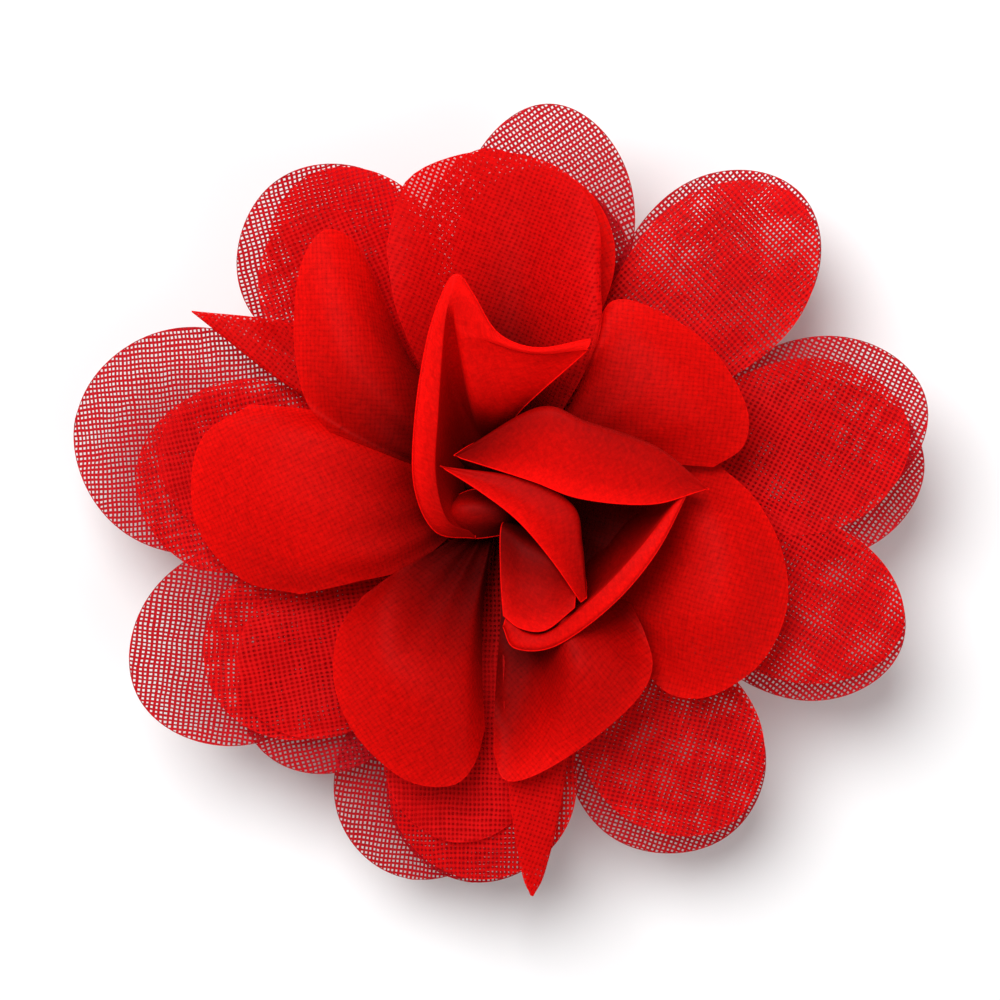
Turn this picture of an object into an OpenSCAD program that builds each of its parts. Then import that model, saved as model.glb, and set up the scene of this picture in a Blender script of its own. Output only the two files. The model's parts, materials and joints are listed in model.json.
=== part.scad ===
// Chiffon flower on a single-prong alligator hair clip.
// Millimetres. +Z is the way the flower faces, +X runs from the lever to the tip of the prong.
// The origin is under the middle of the flower, on the surface that the clip lies on.

/* [Petals] */
// Thickness of a petal's stand-in solid
petal_t = 0.25; // [0.2:0.05:0.3]
// Height between two petals that lie over each other in one ring
level_step = 0.35; // [0.35:0.01:0.4]
// Width of a petal where it is gathered at the middle
root_w = 3.5; // [3:0.1:4]
// Distance from the middle at which the petals start
root_r = 2.4; // [2.4:0.1:2.8]
// Upward curl of the two back rings from the middle to their tips
back_rise = 2.5; // [1.5:0.1:3]
// Height of the crown of the middle ring above its roots
middle_rise = 5.5; // [4:0.1:6]
// Distance from the middle to the crown of the middle ring
crown_r = 15; // [14:0.5:17]
// Lean of the centre petals, away from upright, in degrees
centre_lean = 40; // [35:1:45]

/* [Backing] */
// Diameter of the felt disc
felt_d = 28; // [24:1:32]
// Thickness of the felt disc
felt_t = 1.2; // [1:0.1:1.2]
// Thickness of the glue between felt and clip
glue_t = 0.5; // [0.3:0.1:0.5]
// Length of the glue along the clip
glue_l = 24; // [16:1:26]
// Diameter of the thread that gathers the petals, wound and knotted
thread_d = 2.4; // [2:0.1:2.6]

/* [Clip] */
// Length of the clip
clip_l = 40; // [40:1:44]
// Width of the clip
clip_w = 8; // [8:0.5:9]
// Height of the closed clip, from the lever pad to the top of the base
clip_h = 6.6; // [6.6:0.1:7]
// Thickness of the base's sheet steel
base_t = 0.6; // [0.5:0.1:0.6]
// Thickness of the lever's sheet steel
strip_t = 0.6; // [0.5:0.1:0.6]
// Width of the prong
prong_w = 4.6; // [4:0.1:5]
// Thickness of the four hinge ears
ear_t = 0.5; // [0.4:0.1:0.5]
// Gap between an outer ear and the inner ear beside it
ear_gap = 0.2; // [0.15:0.05:0.25]
// Place of the hinge along the clip
pivot_x = -6; // [-7:0.5:-5]
// Height of the hinge
pivot_z = 3.4; // [3.4:0.1:3.6]
// Diameter of the hinge pin
pin_d = 1.2; // [1:0.1:1.2]
// Running clearance of the lever on the pin, all round
pin_clearance = 0.06; // [0.04:0.01:0.08]

/* [Spring] */
// Diameter of the spring wire
wire_d = 0.5; // [0.4:0.05:0.5]
// Mean diameter of the coil
coil_d = 2.2; // [2.1:0.1:2.2]
// Length of the coil along the pin
coil_l = 4.4; // [3.6:0.2:4.6]
// Reach of the two spring legs from the hinge
leg_l = 6.6; // [5:0.2:7]

/* [Hidden] */
$fn = 64;

// Every petal is a grid of points: rows along it and cols across it
rows = 10;
cols = 6;
tip_half_w = 0.35;
tip_bunching = 1.5;
max_round_share = 0.6;
back_rise_r = 30;
droop_rate = 0.02;
max_wrap = 75;

base_top = clip_h;
base_bottom = base_top - base_t;
felt_bottom = base_top + glue_t;
felt_top = felt_bottom + felt_t;

// Hinge: the inner ears stand between the outer ones, and the pin goes through all four
ear_r = 1.9;
inner_ear_y = clip_w / 2 - ear_t - ear_gap;
pin_fixed_clearance = 0.02;
head_r = 1;
head_t = 0.35;

// The base's front edge, turned down over the tip of the prong
lip_h = 0.5;
lip_t = 0.6;

// The lever's strip from end to end: flat pad, saddle under the hinge, belly, toothed tip
pad_end = -13;
saddle_z = 1.4;
belly_x = 4;
tip_start = 16.5;
tip_end = 18.8;
teeth = 3;
tooth_h = 0.35;
tooth_slope = 0.6;
belly_power = 1.8;
strip_mid = strip_t / 2;
closed_gap = 0.05;
tip_z = base_bottom - closed_gap - tooth_h - strip_mid;

// Seen from above, the strip narrows behind the hinge and again in front of it
pad_shoulder = [pivot_x - 4, pivot_x - 3];
prong_shoulder = [pivot_x + 2.5, pivot_x + 4.5];

// Heights of the petals' undersides at the middle, one above another
felt_gap = 0.2;
fold_gap = 0.25;
middle_gap = 0.15;
centre_lift = 2.5;
fold_level = 3;
fold_t = 0.5;
ring_levels = 3;
back_z = felt_top + felt_gap;
inner_z = back_z + fold_level * level_step + fold_t + fold_gap;
middle_z = inner_z + ring_levels * level_step + middle_gap;
centre_z = middle_z + centre_lift;
centre_gap = 0.6;
centre_r = 1.8;

// [azimuth in degrees, reach of the tip from the middle, width, level in its ring]
outer_petals = [
    [12.5, 32.8, 15.3, 0],
    [42, 32, 13.5, 1],
    [84, 29.6, 12, 2],
    [129, 28.9, 14, 0],
    [172, 32.3, 17, 1],
    [211, 30.4, 15, 2],
    [261, 29.2, 14, 0],
    [306, 30.1, 14, 1],
    [343, 31.6, 13.5, 2]
];
folded_petals = [
    [148.5, 26.5, 4.5, fold_level],
    [274.5, 29.7, 4, fold_level]
];
inner_petals = [
    [10, 28, 14, 0],
    [47, 27, 13, 1],
    [86, 24, 12, 2],
    [130, 25, 11, 0],
    [175, 26.5, 14, 1],
    [217, 26, 14, 2],
    [263, 27, 14, 0],
    [309, 27.5, 13, 1],
    [338, 27, 12, 2]
];
middle_petals = [
    [35, 20.5, 14.5, 1],
    [90, 26, 16, 0],
    [123, 23.5, 9, 2],
    [178, 23.3, 14.5, 0],
    [240, 22, 12.5, 1],
    [288, 22, 13, 2],
    [332, 23, 14.5, 0]
];
// [azimuth in degrees, length up the cone, width, cone number from the inside out]
centre_petals = [
    [105, 14, 15, 4],
    [25, 13, 12, 2],
    [290, 10, 9, 1],
    [195, 6, 5, 0],
    [325, 12, 13, 3],
    [262, 10, 9, 2]
];

function numbered(name, list) = [for (i = [1:len(list)]) str(name, "_", i)];
OUTER = numbered("outer_petal", outer_petals);
FOLDED = numbered("folded_petal", folded_petals);
INNER = numbered("inner_petal", inner_petals);
MIDDLE = numbered("middle_petal", middle_petals);
CENTRE = numbered("centre_petal", centre_petals);

// ---- Petals ----

// Height of each ring's surface above its roots, at distance r from the middle
function back_profile(r) = back_rise * pow(r / back_rise_r, 2);
function middle_profile(r) =
    r < crown_r ? middle_rise * (1 - cos(180 * r / crown_r)) / 2
                : middle_rise - droop_rate * pow(r - crown_r, 2);

// Share of a petal's length at row i: the rows bunch towards the round end
function row_share(i) = 1 - pow(1 - i / rows, tip_bunching);

// Half width of a petal at share s of its length: narrow, then full, then a round end
function half_width(s, length, width) =
    let (round_share = min(max_round_share, width / 2 / length),
         straight = 1 - round_share,
         grow = s / straight,
         over = (s - straight) / round_share)
    s <= straight
        ? (root_w + (width - root_w) * grow * grow * (3 - 2 * grow)) / 2
        : max(tip_half_w, width / 2 * sqrt(max(0, 1 - over * over)));

// Half width of a folded petal, which runs to a point
function point_half_width(s, width) = max(tip_half_w / 2, width / 2 * (1 - s));

// A closed solid between two grids of points, upper over lower
module shell(upper, lower) {
    m = len(upper) - 1;
    n = len(upper[0]) - 1;
    half = (m + 1) * (n + 1);
    function at(i, j) = i * (n + 1) + j;
    function quad(a, b, c, d) = [[a, b, c], [a, c, d]];
    points = [for (row = upper) each row, for (row = lower) each row];
    faces = [
        for (i = [0:m - 1], j = [0:n - 1])
            each quad(at(i, j), at(i, j + 1), at(i + 1, j + 1), at(i + 1, j)),
        for (i = [0:m - 1], j = [0:n - 1])
            each quad(half + at(i, j), half + at(i + 1, j), half + at(i + 1, j + 1), half + at(i, j + 1)),
        for (i = [0:m - 1])
            each quad(at(i, 0), at(i + 1, 0), half + at(i + 1, 0), half + at(i, 0)),
        for (i = [0:m - 1])
            each quad(at(i + 1, n), at(i, n), half + at(i, n), half + at(i + 1, n)),
        for (j = [0:n - 1])
            each quad(at(0, j + 1), at(0, j), half + at(0, j), half + at(0, j + 1)),
        for (j = [0:n - 1])
            each quad(at(m, j), at(m, j + 1), half + at(m, j + 1), half + at(m, j))
    ];
    polyhedron(points, faces);
}

// A petal that lies on its ring's surface
module lying_petal(petal, root_height, profile, thickness = petal_t, pointed = false) {
    length = petal[1] - root_r;
    function half_at(s) =
        pointed ? point_half_width(s, petal[2]) : half_width(s, length, petal[2]);
    function surface_point(s, q, lift) =
        let (u = root_r + length * s,
             v = half_at(s) * q)
        [u, v, profile(norm([u, v])) + lift];
    function grid(lift) = [
        for (i = [0:rows]) [
            for (j = [0:cols]) surface_point(row_share(i), 2 * j / cols - 1, lift)
        ]
    ];
    rotate([0, 0, petal[0]])
        translate([0, 0, root_height + petal[3] * level_step])
            shell(grid(thickness), grid(0));
}

// A petal that stands up around the middle, on a cone that leans outwards
module standing_petal(petal) {
    length = petal[1];
    foot_r = centre_r + petal[3] * centre_gap;
    function surface_point(s, q, inset) =
        let (r = foot_r + length * s * sin(centre_lean),
             turn = min(max_wrap, half_width(s, length, petal[2]) / r * 180 / PI) * q)
        [(r - inset) * cos(turn), (r - inset) * sin(turn), length * s * cos(centre_lean)];
    function grid(inset) = [
        for (i = [0:rows]) [
            for (j = [0:cols]) surface_point(row_share(i), 2 * j / cols - 1, inset)
        ]
    ];
    rotate([0, 0, petal[0]])
        translate([0, 0, centre_z])
            shell(grid(petal_t), grid(0));
}

module outer_petal(i) {
    color("crimson") lying_petal(outer_petals[i], back_z, function(r) back_profile(r));
}

module folded_petal(i) {
    color("firebrick")
        lying_petal(folded_petals[i], back_z, function(r) back_profile(r), fold_t, true);
}

module inner_petal(i) {
    color("crimson") lying_petal(inner_petals[i], inner_z, function(r) back_profile(r));
}

module middle_petal(i) {
    color("red") lying_petal(middle_petals[i], middle_z, function(r) middle_profile(r));
}

module centre_petal(i) {
    color("darkred") standing_petal(centre_petals[i]);
}

// ---- What holds the petals ----

module gathering_thread() {
    color("red") translate([0, 0, felt_top]) cylinder(d = thread_d, h = centre_z - felt_top);
}

module felt_backing() {
    color("red") translate([0, 0, felt_bottom]) cylinder(d = felt_d, h = felt_t);
}

module glue_pad() {
    width = clip_w - 1;
    color("ivory") translate([0, 0, base_top]) linear_extrude(glue_t) stadium(glue_l, width);
}

// A rectangle with two half-round ends, along X
module stadium(length, width) {
    square([length - width, width], center = true);
    for (side = [-1, 1])
        translate([side * (length - width) / 2, 0]) circle(d = width);
}

// ---- Clip ----

// Laid along Y, with its middle at the hinge
module on_hinge_axis() {
    translate([pivot_x, 0, pivot_z]) rotate([90, 0, 0]) children();
}

// A pair of ears whose inner faces are at y and -y: discs about the hinge, joined to the sheet
module ear_pair(y, hole_d, sheet_z) {
    for (side = [-1, 1])
        translate([0, side * (y + ear_t / 2), 0])
            difference() {
                union() {
                    on_hinge_axis() cylinder(r = ear_r, h = ear_t, center = true);
                    translate([pivot_x - ear_r, -ear_t / 2, min(sheet_z, pivot_z)])
                        cube([2 * ear_r, ear_t, abs(sheet_z - pivot_z)]);
                }
                on_hinge_axis() cylinder(d = hole_d, h = 2 * ear_t, center = true);
            }
}

module clip_base() {
    tip_x = clip_l / 2 - clip_w / 2;
    color("silver") {
        translate([0, 0, base_bottom]) linear_extrude(base_t) stadium(clip_l, clip_w);
        translate([tip_x, 0, base_bottom - lip_h])
            intersection() {
                difference() {
                    cylinder(d = clip_w, h = lip_h + base_t / 2);
                    translate([0, 0, -1]) cylinder(d = clip_w - 2 * lip_t, h = lip_h + base_t + 2);
                }
                translate([clip_w / 4, -clip_w / 2, 0]) cube([clip_w, clip_w, clip_h]);
            }
        ear_pair(clip_w / 2 - ear_t, pin_d + 2 * pin_fixed_clearance, base_bottom + base_t / 2);
    }
}

function ease(t) = t * t * (3 - 2 * t);

// Middle height at x of the strip that is the lever and the prong
function strip_z(x) =
    x < pad_end ? strip_mid
    : x < pivot_x ? strip_mid + (saddle_z - strip_mid) * ease((x - pad_end) / (pivot_x - pad_end))
    : x < belly_x ? saddle_z - (saddle_z - strip_mid) * ease((x - pivot_x) / (belly_x - pivot_x))
    : x < tip_start ? strip_mid + (tip_z - strip_mid) * pow((x - belly_x) / (tip_start - belly_x), belly_power)
    : tip_z;

module strip_outline() {
    steps = 48;
    tooth_l = (tip_end - tip_start) / teeth;
    // The pad and the tip are flat, and the stretch between them is curved
    xs = concat(-clip_l / 2, [for (i = [0:steps]) pad_end + (tip_start - pad_end) * i / steps], tip_end);
    under = [for (x = xs) [x, strip_z(x) - strip_mid]];
    over = [for (i = [len(xs) - 2:-1:0]) [xs[i], strip_z(xs[i]) + strip_mid]];
    toothed = [
        for (i = [teeth - 1:-1:0], k = [1, 0])
            [tip_start + tooth_l * (i + k * tooth_slope), tip_z + strip_mid + (k == 0 ? 0 : tooth_h)]
    ];
    polygon(concat(under, [[tip_end, tip_z + strip_mid]], toothed, over));
}

module strip_plan() {
    waist = 2 * inner_ear_y;
    pad_x = -clip_l / 2 + clip_w / 2;
    // Round lever pad, then a waist that clears the outer ears, then the prong
    translate([pad_x, 0]) circle(d = clip_w);
    translate([pad_x, -clip_w / 2]) square([pad_shoulder[0] - pad_x, clip_w]);
    polygon([
        [pad_shoulder[0], -clip_w / 2], [pad_shoulder[1], -waist / 2],
        [prong_shoulder[0], -waist / 2], [prong_shoulder[1], -prong_w / 2],
        [prong_shoulder[1], prong_w / 2], [prong_shoulder[0], waist / 2],
        [pad_shoulder[1], waist / 2], [pad_shoulder[0], clip_w / 2]
    ]);
    translate([prong_shoulder[0], -prong_w / 2])
        square([tip_end - prong_w / 2 - prong_shoulder[0], prong_w]);
    translate([tip_end - prong_w / 2, 0]) circle(d = prong_w);
}

module clip_lever() {
    color("silver") {
        intersection() {
            rotate([90, 0, 0]) linear_extrude(clip_w, center = true) strip_outline();
            linear_extrude(clip_h) strip_plan();
        }
        ear_pair(inner_ear_y - ear_t, pin_d + 2 * pin_clearance, saddle_z);
    }
}

module hinge_pin() {
    color("gainsboro") {
        on_hinge_axis() cylinder(d = pin_d, h = clip_w + head_t, center = true);
        for (side = [-1, 1])
            translate([0, side * (clip_w + head_t) / 2, 0])
                on_hinge_axis() cylinder(r = head_r, h = head_t, center = true);
    }
}

// A coil round the pin, with one leg up under the base and one down on the lever
module torsion_spring() {
    leg_y = coil_l / 2 - wire_d / 2;
    rise = base_bottom - wire_d / 2 - closed_gap - pivot_z - coil_d / 2;
    lever_top = strip_z(pivot_x - leg_l) + strip_mid;
    drop = pivot_z - coil_d / 2 - (lever_top + wire_d / 2 + closed_gap);
    color("lightgray") {
        on_hinge_axis() rotate_extrude()
            translate([coil_d / 2 - wire_d / 2, -coil_l / 2]) square([wire_d, coil_l]);
        spring_leg(leg_y, coil_d / 2, rise);
        spring_leg(-leg_y, -coil_d / 2, -drop);
    }
}

module spring_leg(y, start, change) {
    length = norm([leg_l, change]);
    translate([pivot_x, y, pivot_z + start])
        rotate([0, -90 + atan2(change, leg_l), 0]) cylinder(d = wire_d, h = length);
}

// ---- The nodes ----

clip_base();
clip_lever();
hinge_pin();
torsion_spring();
glue_pad();
felt_backing();
gathering_thread();
for (i = [0:len(OUTER) - 1]) outer_petal(i);
for (i = [0:len(FOLDED) - 1]) folded_petal(i);
for (i = [0:len(INNER) - 1]) inner_petal(i);
for (i = [0:len(MIDDLE) - 1]) middle_petal(i);
for (i = [0:len(CENTRE) - 1]) centre_petal(i);
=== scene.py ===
"""A red chiffon flower hair clip: the looks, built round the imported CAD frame.

Shapes are worked out in millimetres in the CAD frame and written to Blender in metres.
+Z is the way the flower faces, and +X runs along the clip to the tip of its prong.
"""
import json
import math

import bpy
import numpy as np
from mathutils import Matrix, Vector
from mathutils.bvhtree import BVHTree


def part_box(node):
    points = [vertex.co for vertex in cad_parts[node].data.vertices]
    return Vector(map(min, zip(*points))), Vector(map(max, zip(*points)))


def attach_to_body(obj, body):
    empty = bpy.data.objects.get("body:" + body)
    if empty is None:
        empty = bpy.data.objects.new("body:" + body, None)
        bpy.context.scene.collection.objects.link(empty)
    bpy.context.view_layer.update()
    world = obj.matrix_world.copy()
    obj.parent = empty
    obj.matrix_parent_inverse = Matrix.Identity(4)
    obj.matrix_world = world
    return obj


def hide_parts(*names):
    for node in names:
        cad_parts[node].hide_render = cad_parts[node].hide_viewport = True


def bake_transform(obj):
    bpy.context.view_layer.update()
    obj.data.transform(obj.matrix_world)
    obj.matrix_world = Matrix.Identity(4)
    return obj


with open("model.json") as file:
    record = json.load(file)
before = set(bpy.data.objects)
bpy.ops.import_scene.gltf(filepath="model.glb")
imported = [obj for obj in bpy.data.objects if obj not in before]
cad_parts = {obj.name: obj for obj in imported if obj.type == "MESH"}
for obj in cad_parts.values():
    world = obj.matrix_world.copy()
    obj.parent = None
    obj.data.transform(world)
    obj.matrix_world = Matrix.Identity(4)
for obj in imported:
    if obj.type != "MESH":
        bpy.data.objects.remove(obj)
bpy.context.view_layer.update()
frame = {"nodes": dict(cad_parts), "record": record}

MM = 0.001


def box_mm(node):
    """Lowest and highest corner of a CAD node, in millimetres."""
    low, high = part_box(node)
    return np.array(low) / MM, np.array(high) / MM


felt_low, felt_high = box_mm("felt_backing")
glue_low, glue_high = box_mm("glue_pad")
pin_low, pin_high = box_mm("hinge_pin")
spring_low, spring_high = box_mm("torsion_spring")

# Heights of the roots of the four rings of petals
back_z, inner_z, middle_z, centre_z = (
    box_mm(node)[0][2] for node in ("outer_petal_1", "inner_petal_1", "middle_petal_1", "centre_petal_4")
)


# ---- Node helpers ----

class Nodes:
    """A short way to add shader nodes and join them up."""

    def __init__(self, name):
        self.material = bpy.data.materials.new(name)
        self.material.use_nodes = True
        self.tree = self.material.node_tree
        self.tree.nodes.clear()
        self.output = self.tree.nodes.new("ShaderNodeOutputMaterial")

    def set(self, socket, value):
        """Join value to socket if it is a socket, or store it as a constant."""
        if isinstance(value, bpy.types.NodeSocket):
            self.tree.links.new(value, socket)
        else:
            socket.default_value = value

    def add(self, kind, inputs=None, out=0, **settings):
        node = self.tree.nodes.new(kind)
        for key, value in settings.items():
            setattr(node, key, value)
        for key, value in (inputs or {}).items():
            self.set(node.inputs[key], value)
        return node.outputs[out]

    def math(self, operation, a, b=0.0):
        return self.add("ShaderNodeMath", {0: a, 1: b}, operation=operation)

    def times(self, a, b):
        return self.math("MULTIPLY", a, b)

    def vector(self, operation, a, b):
        return self.add("ShaderNodeVectorMath", {0: a, 1: b}, operation=operation)

    def scaled(self, vector, amount):
        return self.add("ShaderNodeVectorMath", {0: vector, "Scale": amount}, operation="SCALE")

    def parts(self, vector):
        """Sockets for the x, y and z of a vector."""
        return self.add("ShaderNodeSeparateXYZ", {0: vector}).node.outputs

    def noise(self, vector, scale, detail=3.0, roughness=0.5):
        inputs = {"Vector": vector, "Scale": scale, "Detail": detail, "Roughness": roughness}
        return self.add("ShaderNodeTexNoise", inputs)

    def span(self, value, low, high, to_low=0.0, to_high=1.0, smooth=False):
        """value from low..high mapped to to_low..to_high, clamped."""
        kind = "SMOOTHSTEP" if smooth else "LINEAR"
        inputs = {"Value": value, 1: low, 2: high, 3: to_low, 4: to_high}
        return self.add("ShaderNodeMapRange", inputs, interpolation_type=kind)

    def vary(self, noise, low, high):
        """A noise, which lies mostly between 0.3 and 0.7, spread over low..high."""
        return self.span(noise, 0.3, 0.7, low, high)

    def mix_color(self, factor, a, b, blend="MIX"):
        inputs = {0: factor, 6: a, 7: b}
        return self.add("ShaderNodeMix", inputs, out=2, data_type="RGBA", blend_type=blend)

    def scaled_color(self, color, amount):
        """color times a grey amount."""
        grey = self.add("ShaderNodeCombineColor", {0: amount, 1: amount, 2: amount})
        return self.mix_color(1.0, color, grey, "MULTIPLY")

    def bump(self, height, strength, distance):
        return self.add("ShaderNodeBump", {"Height": height, "Strength": strength, "Distance": distance})

    def object_mm(self):
        """Object coordinates in millimetres."""
        return self.scaled(self.add("ShaderNodeTexCoord", out=3), 1 / MM)

    def shader(self, inputs):
        return self.add("ShaderNodeBsdfPrincipled", inputs)

    def finish(self, surface):
        self.tree.links.new(surface, self.output.inputs[0])
        return self.material


# ---- Materials ----

WARP_PITCH = 0.379
WEFT_PITCH = 0.311
THREAD_WANDER = 0.34
BLUR = 0.14  # how far a thread's edge fades, and how far a slub moves it
# width of the painted rim highlight
RIM_WIDTH = 1.7
# (name, color, thread_share, hole_alpha, relief for the bump and painted weave shade, translucency,
# root_shade_tone and shade_fade_mm for the painted root shade, rim_highlight for the painted rim highlight,
# slub_rate, speckle), as chiffon() says
# The five cloths are one fabric, and their reds differ as painted light and shade: chiffon_outer's darker,
# bluer red is painted shade on the back petals, which lie under the rest.
CLOTHS = [
    ("chiffon_outer", (0.52, 0.006, 0.012), 0.52, 0.14, 0.5, 0.38, 0.4, 9.0, 1.0, 0.3, 0.06),
    ("chiffon_inner", (0.76, 0.004, 0.005), 0.54, 0.22, 0.34, 0.38, 0.3, 12.0, 1.0, 0.3, 0.06),
    ("chiffon_middle", (0.71, 0.002, 0.001), 0.76, 0.92, 0.2, 0.2, 0.1, 17.5, 1.08, 1.5, 0.16),
    ("chiffon_top", (0.7, 0.002, 0.002), 0.62, 0.62, 0.22, 0.3, 0.12, 16.0, 1.05, 1.2, 0.12),
    ("chiffon_centre", (0.73, 0.002, 0.001), 0.86, 1.0, 0.1, 0.1, 0.1, 12.5, 1.3, 1.8, 0.16),
]


def chiffon(name, color, thread_share, hole_alpha, relief_and_shade, translucency, root_shade_tone, shade_fade_mm,
            rim_highlight, slub_rate, speckle):
    """Plain-weave chiffon on UVs in millimetres: threads with open holes between them.

    thread_share is the share of the pitch that a thread covers, and hole_alpha how much
    loose fibre fills a hole. The colour has painted shade near the sheet's root: root_shade_tone at
    its root, and its full colour from shade_fade_mm on. rim_highlight is a painted highlight along
    the rim, within RIM_WIDTH of it.
    slub_rate is how fast a thread's thickness changes along it, high for a crepe look, and
    speckle how much stray fibres catch the light.
    """
    n = Nodes(name)
    uv = n.add("ShaderNodeUVMap", uv_map="cut")
    wander = n.add("ShaderNodeTexNoise", {"Vector": uv, "Scale": 0.45, "Detail": 2.0}, out=1)
    wander = n.scaled(n.vector("SUBTRACT", wander, (0.5, 0.5, 0.5)), THREAD_WANDER)
    place = n.vector("ADD", uv, wander)
    across, along = n.parts(place)[:2]
    edge = math.cos(math.pi / 2 * thread_share)

    def thread(coordinate, pitch, stretch):
        """1 on a thread and 0 in the gap, the wave that goes over and under, and the slubs."""
        turns = n.math("DIVIDE", coordinate, pitch)
        wave = n.math("SINE", n.times(turns, math.pi))
        slub = n.noise(n.vector("MULTIPLY", place, stretch), 1.0, 1.0)
        crest = n.math("ADD", n.math("ABSOLUTE", wave), n.vary(slub, -BLUR, BLUR))
        return n.span(crest, edge - BLUR, edge + BLUR, smooth=True), wave, slub

    warp, warp_wave, warp_slub = thread(across, WARP_PITCH, (2.6, slub_rate, 1.0))
    weft, weft_wave, weft_slub = thread(along, WEFT_PITCH, (slub_rate, 3.0, 1.0))
    cover = n.math("MAXIMUM", warp, weft)
    over = n.times(warp_wave, weft_wave)
    height = n.times(cover, n.span(n.math("ABSOLUTE", over), 0.0, 1.0, 0.45, 1.0))
    edge_mm = n.add("ShaderNodeAttribute", attribute_name="edge_mm", out=2)
    sealed = n.span(edge_mm, 0.03, 0.11, 1.0, 0.0, smooth=True)
    alpha = n.math("MAXIMUM", n.math("MAXIMUM", cover, hole_alpha), sealed)

    cloud = n.noise(n.object_mm(), 0.16, 2.0)
    glints = n.noise(place, 4.6, 3.0, 0.7)
    root_shade_mm = n.add("ShaderNodeAttribute", attribute_name="root_shade_mm", out=2)
    tones = (
        # painted shade: the weave is darker where its threads dip and in its holes, and lighter on the
        # crests, besides its bump
        n.span(height, 0.0, 1.0, 1.0 - relief_and_shade, 1.0 + 0.3 * relief_and_shade),
        n.span(n.math("ADD", warp_slub, weft_slub), 0.6, 1.4, 0.86, 1.14),
        n.vary(cloud, 0.95, 1.05),
        n.span(glints, 0.35, 0.7, 1.0 - 0.5 * speckle, 1.0 + speckle),
        n.span(n.times(sealed, warp_slub), 0.0, 0.7, 1.0, 1.12),
        # painted shade: darkest at the root and in low places, full colour from shade_fade_mm on
        n.span(root_shade_mm, 1.0, shade_fade_mm, root_shade_tone, 1.0, smooth=True),
        # painted highlight: lighter within RIM_WIDTH of the rim, by rim_highlight
        n.span(edge_mm, 0.0, RIM_WIDTH, rim_highlight, 1.0, smooth=True),
    )
    shade = tones[0]
    for tone in tones[1:]:
        shade = n.times(shade, tone)
    cloth_color = n.scaled_color((*color, 1.0), shade)
    normal = n.bump(height, 0.5 * relief_and_shade, 0.06 * MM)
    front = n.shader({
        "Base Color": cloth_color, "Roughness": 0.62, "Normal": normal,
        "Specular IOR Level": 0.05, "Sheen Weight": 0.06, "Sheen Roughness": 0.45,
        "Sheen Tint": (1.0, 0.03, 0.02, 1.0),
    })
    through = n.add("ShaderNodeBsdfTranslucent", {"Color": cloth_color, "Normal": normal})
    cloth = n.add("ShaderNodeMixShader", {0: translucency, 1: front, 2: through})
    clear = n.add("ShaderNodeBsdfTransparent")
    return n.finish(n.add("ShaderNodeMixShader", {0: alpha, 1: clear, 2: cloth}))


def felt():
    n = Nodes("red_felt")
    place = n.object_mm()
    fibres = n.noise(place, 2.6, 8.0, 0.72)
    strands = n.noise(place, 9.0, 5.0, 0.7)
    clumps = n.noise(place, 0.5, 3.0)
    tone = n.times(n.vary(fibres, 0.72, 1.18), n.vary(clumps, 0.88, 1.1))
    color = n.scaled_color((0.42, 0.008, 0.014, 1.0), tone)
    height = n.math("ADD", fibres, n.times(strands, 0.5))
    normal = n.bump(height, 0.9, 0.25 * MM)
    return n.finish(n.shader({
        "Base Color": color, "Roughness": n.vary(strands, 0.82, 1.0), "Normal": normal,
        "Sheen Weight": 0.5, "Sheen Roughness": 0.6, "Sheen Tint": (1.0, 0.4, 0.35, 1.0),
        "Specular IOR Level": 0.15,
    }))


PLIES = 2.0
TWISTS_PER_MM = 1.6


def thread_material():
    """Two-ply sewing thread on UVs: x in turns round the thread, and y along it in millimetres."""
    n = Nodes("red_thread")
    around, along = n.parts(n.add("ShaderNodeUVMap", uv_map="cut"))[:2]
    twist = n.math("ADD", n.times(around, PLIES), n.times(along, TWISTS_PER_MM))
    ply = n.math("SINE", n.times(twist, math.tau))
    fuzz = n.noise(n.object_mm(), 14.0, 4.0)
    # painted shade: the tone follows the plies, lighter on their crests and darker in the grooves between
    # them, besides the bump
    tone = n.times(n.span(ply, -1.0, 1.0, 0.62, 1.15), n.vary(fuzz, 0.9, 1.1))
    color = n.scaled_color((0.55, 0.01, 0.015, 1.0), tone)
    return n.finish(n.shader({
        "Base Color": color, "Roughness": n.vary(fuzz, 0.4, 0.6),
        "Normal": n.bump(ply, 0.6, 0.05 * MM), "Sheen Weight": 0.2,
    }))


def glue():
    n = Nodes("hot_glue")
    place = n.object_mm()
    lumps = n.noise(place, 0.6, 3.0)
    bubbles = n.add("ShaderNodeTexVoronoi", {"Vector": place, "Scale": 1.8, "Randomness": 1.0})
    tiny = n.span(bubbles, 0.05, 0.14, 1.0, 0.0)
    tone = n.times(n.vary(lumps, 0.92, 1.04), n.span(tiny, 0.0, 1.0, 1.0, 0.88))
    color = n.scaled_color((0.86, 0.8, 0.66, 1.0), tone)
    return n.finish(n.shader({
        "Base Color": color, "Roughness": n.vary(lumps, 0.2, 0.36),
        "Normal": n.bump(n.math("SUBTRACT", lumps, n.times(tiny, 0.2)), 0.5, 0.5 * MM),
        "Subsurface Weight": 0.3, "Subsurface Radius": (1.0 * MM, 0.9 * MM, 0.6 * MM), "Coat Weight": 0.3,
    }))


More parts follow.
